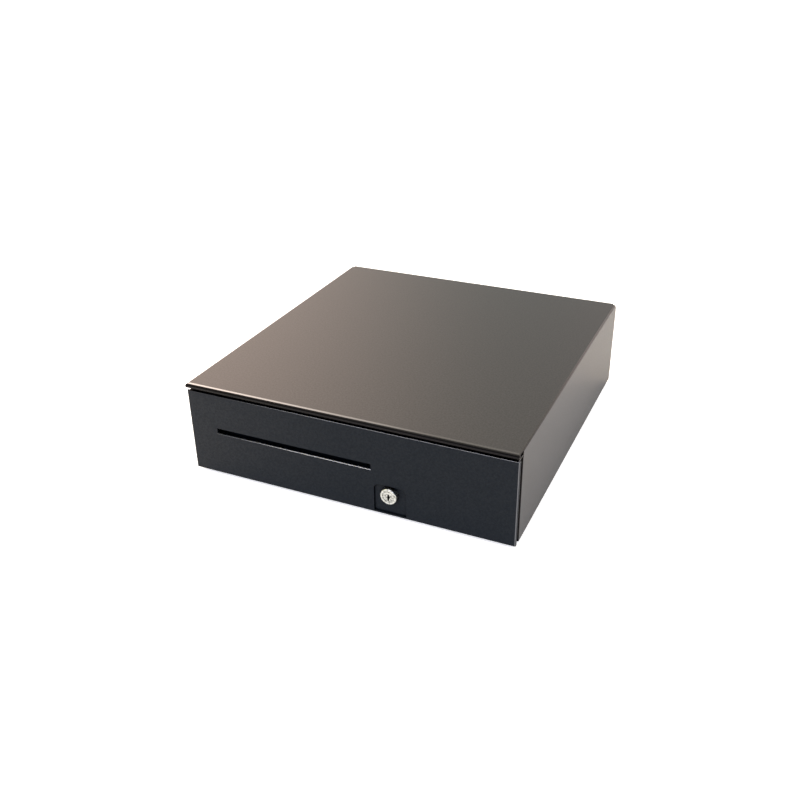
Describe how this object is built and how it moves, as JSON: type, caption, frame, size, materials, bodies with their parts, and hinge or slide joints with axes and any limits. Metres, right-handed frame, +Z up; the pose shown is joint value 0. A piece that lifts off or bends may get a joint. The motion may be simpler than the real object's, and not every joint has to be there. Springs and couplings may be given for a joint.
{
  "type": "cash drawer",
  "caption": "Low steel point-of-sale cash drawer with a sliding lockable drawer, slip slot, electric latch and note-and-coin till.",
  "frame": {"origin": "on the counter, under the middle of the object's overall footprint", "axes": "+X to the right seen from the front, +Y to the back, +Z up; the drawer opens towards -Y"},
  "size_m": [0.411, 0.4384, 0.12],
  "materials": {
    "case_paint": "black fine-texture powder coat, semi-gloss",
    "panel_paint": "black fine-texture powder coat, semi-gloss",
    "tray_paint": "grey paint, satin",
    "zinc_steel": "zinc-coated sheet",
    "slide_steel": "bright zinc plate",
    "fastener_steel": "plated steel",
    "ball_steel": "polished bearing steel",
    "spring_steel": "drawn spring wire",
    "lock_chrome": "nickel-plated, bright",
    "foot_rubber": "matt",
    "till_plastic": "moulded, fine grain",
    "arm_plastic": "moulded",
    "switch_plastic": "moulded",
    "coil_wrap": "taped winding",
    "board_green": "solder mask",
    "wire_cover": "insulated wire",
    "nylon_white": "moulded nylon"
  },
  "bodies": {
    "case": {"case_cover": "case_paint", "base_pan": "zinc_steel", "rear_panel": "case_paint", "rear_screws": "fastener_steel", "base_screws": "fastener_steel", "rubber_feet": "foot_rubber", "foot_screws": "fastener_steel", "slide_case_member_left": "slide_steel", "slide_case_member_right": "slide_steel", "slide_case_screws": "fastener_steel", "latch_bracket": "zinc_steel", "bracket_screws": "fastener_steel", "latch_pin": "fastener_steel", "latch_spring": "spring_steel", "solenoid_frame": "zinc_steel", "solenoid_coil": "coil_wrap", "solenoid_screws": "fastener_steel", "status_switch": "switch_plastic", "ejector_bracket": "zinc_steel", "ejector_spring": "spring_steel", "control_board": "board_green", "board_parts": "switch_plastic", "interface_jack": "switch_plastic", "board_screws": "fastener_steel", "wire_harness": "wire_cover", "lock_keeper": "zinc_steel", "keeper_rivets": "fastener_steel"},
    "drawer": {"drawer_tray": "tray_paint", "front_panel": "panel_paint", "panel_nuts": "fastener_steel", "lock_body": "lock_chrome", "lock_nut": "fastener_steel", "slip_guide": "panel_paint", "latch_strike": "zinc_steel", "strike_rivets": "fastener_steel", "slide_drawer_member_left": "slide_steel", "slide_drawer_member_right": "slide_steel", "slide_drawer_screws": "fastener_steel", "till": "till_plastic", "coin_tray": "till_plastic", "note_dividers": "till_plastic", "note_arm_rod": "fastener_steel"},
    "slide_retainer_left": {"ball_retainer_left": "slide_steel", "slide_balls_left": "ball_steel"},
    "slide_retainer_right": {"ball_retainer_right": "slide_steel", "slide_balls_right": "ball_steel"},
    "lock_barrel": {"lock_plug": "lock_chrome", "lock_cam": "fastener_steel", "cam_screw": "fastener_steel"},
    "latch": {"latch_lever": "zinc_steel"},
    "plunger": {"solenoid_plunger": "fastener_steel", "plunger_pin": "fastener_steel"},
    "switch_blade": {"switch_lever": "fastener_steel"},
    "ejector": {"ejector_plunger": "nylon_white"},
    "note_holder_1": {"note_arm_1": "arm_plastic"},
    "note_holder_2": {"note_arm_2": "arm_plastic"},
    "note_holder_3": {"note_arm_3": "arm_plastic"},
    "note_holder_4": {"note_arm_4": "arm_plastic"},
    "note_holder_5": {"note_arm_5": "arm_plastic"}
  },
  "joints": [
    {"name": "drawer_slide", "type": "slide", "parent": "case", "child": "drawer", "axis": [0, -1, 0], "range_m": [0, 0.28]},
    {"name": "retainer_left_slide", "type": "slide", "parent": "case", "child": "slide_retainer_left", "axis": [0, -1, 0], "range_m": [0, 0.14]},
    {"name": "retainer_right_slide", "type": "slide", "parent": "case", "child": "slide_retainer_right", "axis": [0, -1, 0], "range_m": [0, 0.14]},
    {"name": "lock_turn", "type": "hinge", "parent": "drawer", "child": "lock_barrel", "pos_m": [0.0575, -0.1922, 0.0315], "axis": [0, 1, 0], "range_deg": [0, 90]},
    {"name": "latch_turn", "type": "hinge", "parent": "case", "child": "latch", "pos_m": [0, 0.1972, 0.0625], "axis": [1, 0, 0], "range_deg": [0, 9]},
    {"name": "plunger_slide", "type": "slide", "parent": "case", "child": "plunger", "axis": [0, 0, -1], "range_m": [0, 0.0023]},
    {"name": "switch_turn", "type": "hinge", "parent": "case", "child": "switch_blade", "pos_m": [-0.0102, 0.2027, 0.06685], "axis": [0, -1, 0], "range_deg": [0, 6.5]},
    {"name": "ejector_push", "type": "slide", "parent": "case", "child": "ejector", "axis": [0, 1, 0], "range_m": [0, 0.003], "deforming": ["ejector_spring"]},
    {"name": "note_arm_1_lift", "type": "hinge", "parent": "drawer", "child": "note_holder_1", "pos_m": [-0.149, 0.1232, 0.0845], "axis": [1, 0, 0], "range_deg": [-12, 22]},
    {"name": "note_arm_2_lift", "type": "hinge", "parent": "drawer", "child": "note_holder_2", "pos_m": [-0.0745, 0.1232, 0.0845], "axis": [1, 0, 0], "range_deg": [-12, 22]},
    {"name": "note_arm_3_lift", "type": "hinge", "parent": "drawer", "child": "note_holder_3", "pos_m": [0, 0.1232, 0.0845], "axis": [1, 0, 0], "range_deg": [-12, 22]},
    {"name": "note_arm_4_lift", "type": "hinge", "parent": "drawer", "child": "note_holder_4", "pos_m": [0.0745, 0.1232, 0.0845], "axis": [1, 0, 0], "range_deg": [-12, 22]},
    {"name": "note_arm_5_lift", "type": "hinge", "parent": "drawer", "child": "note_holder_5", "pos_m": [0.149, 0.1232, 0.0845], "axis": [1, 0, 0], "range_deg": [-12, 22]}
  ],
  "couplings": [
    {"joint": "retainer_left_slide", "follows": "drawer_slide", "ratio": 0.5},
    {"joint": "retainer_right_slide", "follows": "drawer_slide", "ratio": 0.5},
    {"joint": "plunger_slide", "follows": "latch_turn", "m_per_rad": 0.014},
    {"joint": "switch_turn", "follows": "latch_turn", "ratio": 0.7}
  ]
}
